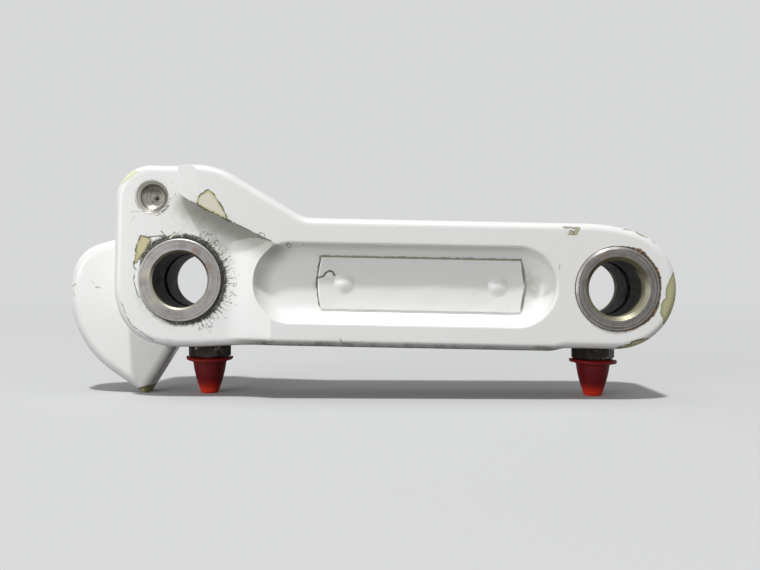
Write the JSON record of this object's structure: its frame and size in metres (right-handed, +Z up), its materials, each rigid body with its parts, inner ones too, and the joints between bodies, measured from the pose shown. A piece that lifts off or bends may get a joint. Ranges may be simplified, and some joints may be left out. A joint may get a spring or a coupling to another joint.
{
  "type": "landing gear side brace",
  "caption": "Painted forged link with a flanged-bush bore at each end, a pin lug, a pocketed arm with a riveted plate, a rear lobe and capped grease fittings.",
  "frame": {"origin": "centre of the pivot bore, midway along it", "axes": "+X towards the knee bore, +Y along both bores to the rear, +Z up as the brace stands on its caps and lobe"},
  "size_m": [0.1775, 0.0388, 0.0671],
  "materials": {
    "white_paint": "gloss white enamel over primer on a forged light alloy, chipped and soiled",
    "plate_paint": "thin sheet painted over in gloss white",
    "bushing_steel": "turned steel, greasy",
    "pin_steel": "turned steel",
    "fitting_steel": "plated steel, dark with grease",
    "ball_steel": "bright steel",
    "red_rubber": "soft moulded red cap, slightly translucent"
  },
  "bodies": {
    "link": {"link_body": "white_paint", "pivot_bushing_front": "bushing_steel", "pivot_bushing_rear": "bushing_steel", "knee_bushing_front": "bushing_steel", "knee_bushing_rear": "bushing_steel", "lock_pin": "pin_steel", "identity_plate": "plate_paint", "left_plate_rivet": "plate_paint", "right_plate_rivet": "plate_paint", "pivot_grease_fitting": "fitting_steel", "knee_grease_fitting": "fitting_steel", "pivot_check_spring": "ball_steel", "knee_check_spring": "ball_steel"},
    "pivot_cap": {"pivot_fitting_cap": "red_rubber"},
    "knee_cap": {"knee_fitting_cap": "red_rubber"},
    "pivot_ball": {"pivot_check_ball": "ball_steel"},
    "knee_ball": {"knee_check_ball": "ball_steel"}
  },
  "joints": [
    {"name": "pivot_cap_pull", "type": "slide", "parent": "link", "child": "pivot_cap", "axis": [0, 0, -1], "range_m": [0, 0.012]},
    {"name": "knee_cap_pull", "type": "slide", "parent": "link", "child": "knee_cap", "axis": [0, 0, -1], "range_m": [0, 0.012]},
    {"name": "pivot_ball_lift", "type": "slide", "parent": "link", "child": "pivot_ball", "axis": [0, 0, 1], "range_m": [0, 0.0008], "stiffness_N_per_m": 200, "springref_m": -0.0008, "deforming": ["pivot_check_spring"]},
    {"name": "knee_ball_lift", "type": "slide", "parent": "link", "child": "knee_ball", "axis": [0, 0, 1], "range_m": [0, 0.0008], "stiffness_N_per_m": 200, "springref_m": -0.0008, "deforming": ["knee_check_spring"]}
  ]
}
